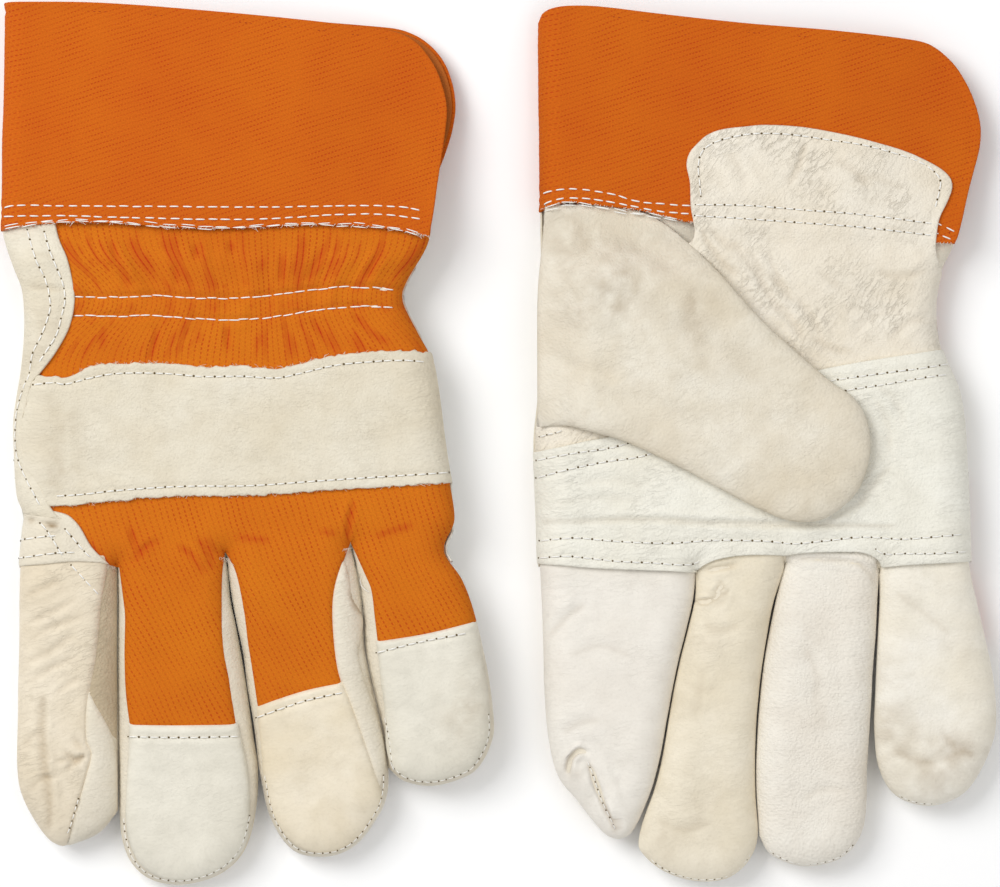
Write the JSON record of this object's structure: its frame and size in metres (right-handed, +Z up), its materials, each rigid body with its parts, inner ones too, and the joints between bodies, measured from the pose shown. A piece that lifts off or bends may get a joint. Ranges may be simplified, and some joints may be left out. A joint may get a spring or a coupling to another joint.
{
  "type": "work gloves",
  "caption": "Pair of leather-palm work gloves with cotton drill backs and safety cuffs, elastic wrists, knuckle straps, leather fingers and thumbs folded flat.",
  "frame": {"origin": "bottom centre of the pair as it lies on a table", "axes": "+Z up, fingers towards -Y, cuffs towards +Y, the left glove at -X with its back up, the right glove at +X with its palm up"},
  "size_m": [0.2957, 0.2666, 0.0237],
  "materials": {
    "orange_drill": "matt orange cotton drill, twill weave",
    "cuff_lining": "matt orange cotton drill, pasted and stiff",
    "split_leather": "natural grain leather, matt",
    "strap_leather": "natural suede-edged leather, matt",
    "palm_lining": "brushed off-white cotton fleece",
    "elastic": "white braided elastic tape"
  },
  "bodies": {
    "left_hand": {"left_palm_panel": "split_leather", "left_palm_lining": "palm_lining", "left_palm_patch": "split_leather", "left_back_panel": "orange_drill", "left_wrist_elastic": "elastic", "left_knuckle_strap": "strap_leather", "left_side_strip": "strap_leather"},
    "left_cuff": {"left_cuff_outer": "orange_drill", "left_cuff_lining": "cuff_lining", "left_palm_tab": "strap_leather"},
    "left_index_base": {"left_index_front_base": "split_leather", "left_index_back_base": "split_leather"},
    "left_index_tip": {"left_index_front_tip": "split_leather", "left_index_back_tip": "split_leather"},
    "left_middle_base": {"left_middle_front_base": "split_leather", "left_middle_back_base": "orange_drill"},
    "left_middle_tip": {"left_middle_front_tip": "split_leather", "left_middle_tip_cap": "strap_leather"},
    "left_ring_base": {"left_ring_front_base": "split_leather", "left_ring_back_base": "orange_drill"},
    "left_ring_tip": {"left_ring_front_tip": "split_leather", "left_ring_tip_cap": "strap_leather"},
    "left_little_base": {"left_little_front_base": "split_leather", "left_little_back_base": "orange_drill"},
    "left_little_tip": {"left_little_front_tip": "split_leather", "left_little_tip_cap": "strap_leather"},
    "left_thumb": {"left_thumb_inner": "split_leather", "left_thumb_outer": "split_leather"},
    "right_hand": {"right_palm_panel": "split_leather", "right_palm_lining": "palm_lining", "right_palm_patch": "split_leather", "right_back_panel": "orange_drill", "right_wrist_elastic": "elastic", "right_knuckle_strap": "strap_leather", "right_side_strip": "strap_leather"},
    "right_cuff": {"right_cuff_outer": "orange_drill", "right_cuff_lining": "cuff_lining", "right_palm_tab": "strap_leather"},
    "right_index_base": {"right_index_front_base": "split_leather", "right_index_back_base": "split_leather"},
    "right_index_tip": {"right_index_front_tip": "split_leather", "right_index_back_tip": "split_leather"},
    "right_middle_base": {"right_middle_front_base": "split_leather", "right_middle_back_base": "orange_drill"},
    "right_middle_tip": {"right_middle_front_tip": "split_leather", "right_middle_tip_cap": "strap_leather"},
    "right_ring_base": {"right_ring_front_base": "split_leather", "right_ring_back_base": "orange_drill"},
    "right_ring_tip": {"right_ring_front_tip": "split_leather", "right_ring_tip_cap": "strap_leather"},
    "right_little_base": {"right_little_front_base": "split_leather", "right_little_back_base": "orange_drill"},
    "right_little_tip": {"right_little_front_tip": "split_leather", "right_little_tip_cap": "strap_leather"},
    "right_thumb": {"right_thumb_inner": "split_leather", "right_thumb_outer": "split_leather"}
  },
  "joints": [
    {"name": "right_glove_lift", "type": "slide", "parent": "left_hand", "child": "right_hand", "axis": [0, 0, 1], "range_m": [0, 0.15]},
    {"name": "left_wrist_bend", "type": "hinge", "parent": "left_hand", "child": "left_cuff", "pos_m": [-0.08475, 0.064, 0.0158], "axis": [-1, 0, 0], "range_deg": [-30, 30]},
    {"name": "left_thumb_swing", "type": "hinge", "parent": "left_hand", "child": "left_thumb", "pos_m": [-0.1472, 0.035, 0.0078], "axis": [0, 1, 0], "range_deg": [0, 175]},
    {"name": "left_index_knuckle", "type": "hinge", "parent": "left_hand", "child": "left_index_base", "pos_m": [-0.1305, -0.042, 0.0094], "axis": [1, 0, 0], "range_deg": [-10, 75]},
    {"name": "left_index_middle_joint", "type": "hinge", "parent": "left_index_base", "child": "left_index_tip", "pos_m": [-0.1305, -0.07583, 0.00596], "axis": [1, 0, 0], "range_deg": [0, 90]},
    {"name": "left_middle_knuckle", "type": "hinge", "parent": "left_hand", "child": "left_middle_base", "pos_m": [-0.097, -0.042, 0.0094], "axis": [1, 0, 0], "range_deg": [-10, 75]},
    {"name": "left_middle_middle_joint", "type": "hinge", "parent": "left_middle_base", "child": "left_middle_tip", "pos_m": [-0.09563, -0.08327, 0.00521], "axis": [1, 0, 0], "range_deg": [0, 90]},
    {"name": "left_ring_knuckle", "type": "hinge", "parent": "left_hand", "child": "left_ring_base", "pos_m": [-0.061, -0.04, 0.0094], "axis": [1, 0, 0], "range_deg": [-10, 75]},
    {"name": "left_ring_middle_joint", "type": "hinge", "parent": "left_ring_base", "child": "left_ring_tip", "pos_m": [-0.05674, -0.07556, 0.00579], "axis": [1, 0, 0], "range_deg": [0, 90]},
    {"name": "left_little_knuckle", "type": "hinge", "parent": "left_hand", "child": "left_little_base", "pos_m": [-0.027, -0.04, 0.0094], "axis": [1, 0, 0], "range_deg": [-10, 75]},
    {"name": "left_little_middle_joint", "type": "hinge", "parent": "left_little_base", "child": "left_little_tip", "pos_m": [-0.0235, -0.06312, 0.00705], "axis": [1, 0, 0], "range_deg": [0, 90]},
    {"name": "right_wrist_bend", "type": "hinge", "parent": "right_hand", "child": "right_cuff", "pos_m": [0.0745, 0.064, 0.0079], "axis": [1, 0, 0], "range_deg": [-30, 30]},
    {"name": "right_thumb_swing", "type": "hinge", "parent": "right_hand", "child": "right_thumb", "pos_m": [0.0108, 0.035, 0.0159], "axis": [0, -1, 0], "range_deg": [0, 140]},
    {"name": "right_index_knuckle", "type": "hinge", "parent": "right_hand", "child": "right_index_base", "pos_m": [0.0345, -0.044, 0.0143], "axis": [-1, 0, 0], "range_deg": [-10, 75]},
    {"name": "right_index_middle_joint", "type": "hinge", "parent": "right_index_base", "child": "right_index_tip", "pos_m": [0.03358, -0.07799, 0.01394], "axis": [-1, 0, 0], "range_deg": [0, 90]},
    {"name": "right_middle_knuckle", "type": "hinge", "parent": "right_hand", "child": "right_middle_base", "pos_m": [0.071, -0.044, 0.0143], "axis": [-1, 0, 0], "range_deg": [-10, 75]},
    {"name": "right_middle_middle_joint", "type": "hinge", "parent": "right_middle_base", "child": "right_middle_tip", "pos_m": [0.06576, -0.08365, 0.01388], "axis": [-1, 0, 0], "range_deg": [0, 90]},
    {"name": "right_ring_knuckle", "type": "hinge", "parent": "right_hand", "child": "right_ring_base", "pos_m": [0.099, -0.042, 0.0143], "axis": [-1, 0, 0], "range_deg": [-10, 75]},
    {"name": "right_ring_middle_joint", "type": "hinge", "parent": "right_ring_base", "child": "right_ring_tip", "pos_m": [0.09689, -0.07794, 0.01392], "axis": [-1, 0, 0], "range_deg": [0, 90]},
    {"name": "right_little_knuckle", "type": "hinge", "parent": "right_hand", "child": "right_little_base", "pos_m": [0.1285, -0.044, 0.0143], "axis": [-1, 0, 0], "range_deg": [-10, 75]},
    {"name": "right_little_middle_joint", "type": "hinge", "parent": "right_little_base", "child": "right_little_tip", "pos_m": [0.12961, -0.06797, 0.01405], "axis": [-1, 0, 0], "range_deg": [0, 90]}
  ]
}
